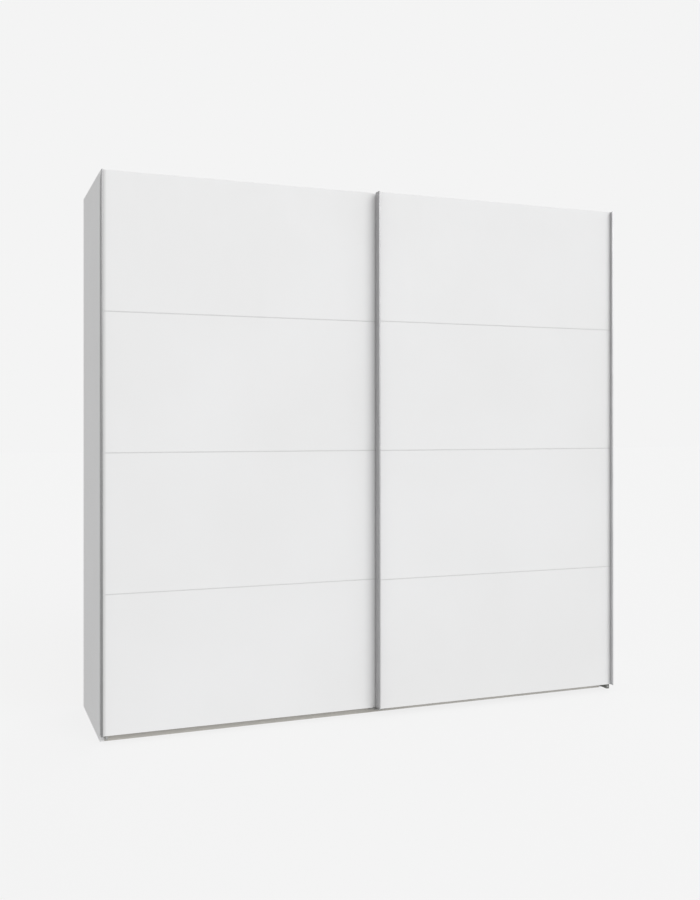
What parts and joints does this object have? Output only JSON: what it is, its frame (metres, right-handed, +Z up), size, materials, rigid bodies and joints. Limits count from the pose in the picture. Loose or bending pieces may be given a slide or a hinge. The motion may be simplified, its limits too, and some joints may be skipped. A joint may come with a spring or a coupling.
{
  "type": "sliding door wardrobe",
  "caption": "Wide free-standing wardrobe with hanging sliding doors that overlap in the middle, panelled white fronts and slim aluminium edge grips.",
  "frame": {"origin": "on the floor, under the middle of the whole object at rest", "axes": "+X to the right seen from the front, along the doors' travel; +Y towards the back; +Z up"},
  "size_m": [2.18, 0.593, 2.096],
  "materials": {
    "white_board": "white melamine-faced chipboard, satin",
    "white_back": "thin hardboard, white on the inside, matt",
    "white_plastic": "white extruded plastic strip",
    "joint_strip_plastic": "white plastic joint strip, satin",
    "satin_aluminium": "satin anodised extrusion",
    "warm_grey_foil": "board faced with a warm grey foil",
    "zinc_steel": "bright zinc-plated pressed steel",
    "chrome_tube": "chromed oval tube",
    "dark_plastic": "dark grey moulded plastic",
    "roller_plastic": "off-white acetal roller"
  },
  "bodies": {
    "case": {"back_joint_strip_left": "white_plastic", "back_joint_strip_right": "white_plastic", "back_sheet_left_inner": "white_back", "back_sheet_left_outer": "white_back", "back_sheet_right_inner": "white_back", "back_sheet_right_outer": "white_back", "bottom_panel_left": "white_board", "bottom_panel_right": "white_board", "centre_partition": "white_board", "clothes_rail_left": "chrome_tube", "clothes_rail_right": "chrome_tube", "foot_guide_centre": "dark_plastic", "foot_guide_left": "dark_plastic", "foot_guide_right": "dark_plastic", "hat_shelf_left": "white_board", "hat_shelf_right": "white_board", "plinth_front": "warm_grey_foil", "plinth_rear": "white_board", "rail_bearer_left_left": "zinc_steel", "rail_bearer_left_right": "zinc_steel", "rail_bearer_right_left": "zinc_steel", "rail_bearer_right_right": "zinc_steel", "side_panel_left": "white_board", "side_panel_right": "white_board", "top_panel_left": "white_board", "top_panel_right": "white_board", "top_track": "satin_aluminium", "track_stop_left": "dark_plastic", "track_stop_right": "dark_plastic"},
    "left_door": {"left_door_joint_strip_1": "joint_strip_plastic", "left_door_joint_strip_2": "joint_strip_plastic", "left_door_joint_strip_3": "joint_strip_plastic", "left_door_left_bracket": "zinc_steel", "left_door_panel_1": "white_board", "left_door_panel_2": "white_board", "left_door_panel_3": "white_board", "left_door_panel_4": "white_board", "left_door_profile_left": "satin_aluminium", "left_door_profile_right": "satin_aluminium", "left_door_right_bracket": "zinc_steel"},
    "right_door": {"right_door_joint_strip_1": "joint_strip_plastic", "right_door_joint_strip_2": "joint_strip_plastic", "right_door_joint_strip_3": "joint_strip_plastic", "right_door_left_bracket": "zinc_steel", "right_door_panel_1": "white_board", "right_door_panel_2": "white_board", "right_door_panel_3": "white_board", "right_door_panel_4": "white_board", "right_door_profile_left": "satin_aluminium", "right_door_profile_right": "satin_aluminium", "right_door_right_bracket": "zinc_steel"},
    "left_door_left_roller_a": {"left_door_left_roller_a": "roller_plastic"},
    "left_door_left_roller_b": {"left_door_left_roller_b": "roller_plastic"},
    "left_door_right_roller_a": {"left_door_right_roller_a": "roller_plastic"},
    "left_door_right_roller_b": {"left_door_right_roller_b": "roller_plastic"},
    "right_door_left_roller_a": {"right_door_left_roller_a": "roller_plastic"},
    "right_door_left_roller_b": {"right_door_left_roller_b": "roller_plastic"},
    "right_door_right_roller_a": {"right_door_right_roller_a": "roller_plastic"},
    "right_door_right_roller_b": {"right_door_right_roller_b": "roller_plastic"}
  },
  "joints": [
    {"name": "left_door_slide", "type": "slide", "parent": "case", "child": "left_door", "axis": [1, 0, 0], "range_m": [0, 1.06]},
    {"name": "right_door_slide", "type": "slide", "parent": "case", "child": "right_door", "axis": [1, 0, 0], "range_m": [-1.06, 0]},
    {"name": "left_door_left_roller_a_spin", "type": "hinge", "parent": "left_door", "child": "left_door_left_roller_a", "pos_m": [-0.985, -0.191, 2.0663], "axis": [0, 1, 0], "continuous": true},
    {"name": "left_door_left_roller_b_spin", "type": "hinge", "parent": "left_door", "child": "left_door_left_roller_b", "pos_m": [-0.915, -0.191, 2.0663], "axis": [0, 1, 0], "continuous": true},
    {"name": "left_door_right_roller_a_spin", "type": "hinge", "parent": "left_door", "child": "left_door_right_roller_a", "pos_m": [-0.145, -0.191, 2.0663], "axis": [0, 1, 0], "continuous": true},
    {"name": "left_door_right_roller_b_spin", "type": "hinge", "parent": "left_door", "child": "left_door_right_roller_b", "pos_m": [-0.075, -0.191, 2.0663], "axis": [0, 1, 0], "continuous": true},
    {"name": "right_door_left_roller_a_spin", "type": "hinge", "parent": "right_door", "child": "right_door_left_roller_a", "pos_m": [0.075, -0.1567, 2.0663], "axis": [0, 1, 0], "continuous": true},
    {"name": "right_door_left_roller_b_spin", "type": "hinge", "parent": "right_door", "child": "right_door_left_roller_b", "pos_m": [0.145, -0.1567, 2.0663], "axis": [0, 1, 0], "continuous": true},
    {"name": "right_door_right_roller_a_spin", "type": "hinge", "parent": "right_door", "child": "right_door_right_roller_a", "pos_m": [0.915, -0.1567, 2.0663], "axis": [0, 1, 0], "continuous": true},
    {"name": "right_door_right_roller_b_spin", "type": "hinge", "parent": "right_door", "child": "right_door_right_roller_b", "pos_m": [0.985, -0.1567, 2.0663], "axis": [0, 1, 0], "continuous": true}
  ],
  "couplings": [
    {"joint": "left_door_left_roller_a_spin", "follows": "left_door_slide", "rad_per_m": 76.923},
    {"joint": "left_door_left_roller_b_spin", "follows": "left_door_slide", "rad_per_m": 76.923},
    {"joint": "left_door_right_roller_a_spin", "follows": "left_door_slide", "rad_per_m": 76.923},
    {"joint": "left_door_right_roller_b_spin", "follows": "left_door_slide", "rad_per_m": 76.923},
    {"joint": "right_door_left_roller_a_spin", "follows": "right_door_slide", "rad_per_m": 76.923},
    {"joint": "right_door_left_roller_b_spin", "follows": "right_door_slide", "rad_per_m": 76.923},
    {"joint": "right_door_right_roller_a_spin", "follows": "right_door_slide", "rad_per_m": 76.923},
    {"joint": "right_door_right_roller_b_spin", "follows": "right_door_slide", "rad_per_m": 76.923}
  ]
}
